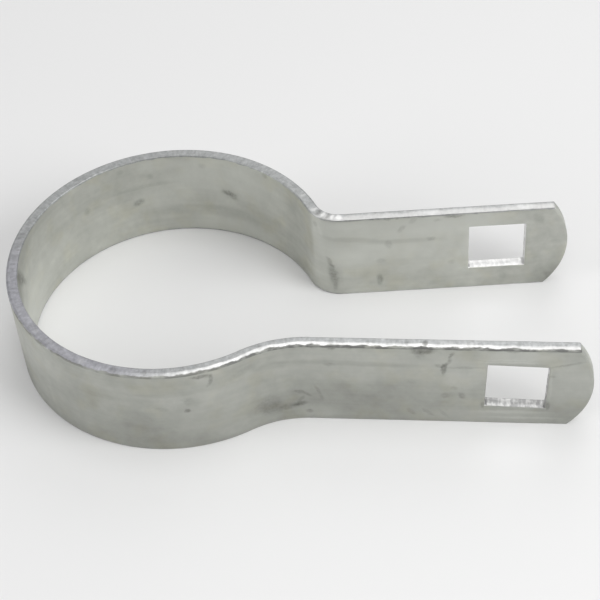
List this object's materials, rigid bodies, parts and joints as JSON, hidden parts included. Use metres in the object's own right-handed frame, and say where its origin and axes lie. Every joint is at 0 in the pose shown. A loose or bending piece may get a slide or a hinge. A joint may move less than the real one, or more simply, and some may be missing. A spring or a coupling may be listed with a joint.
{
  "type": "fence tension band",
  "caption": "Bent steel strip that loops round a fence post and ends in two legs, each with a square bolt hole.",
  "frame": {"origin": "on the axis of the loop, halfway up the width of the strip", "axes": "+Z along the post that the loop holds, +X from the loop towards the tips of the two legs, midway between them in direction, +Y towards the rear leg, the one with the tight bend"},
  "size_m": [0.1039, 0.0588, 0.0192],
  "materials": {
    "galvanised_steel": "hot-dip galvanised, matt pale grey with faint dull and bright patches"
  },
  "bodies": {
    "root": {"band": "galvanised_steel"}
  },
  "joints": []
}
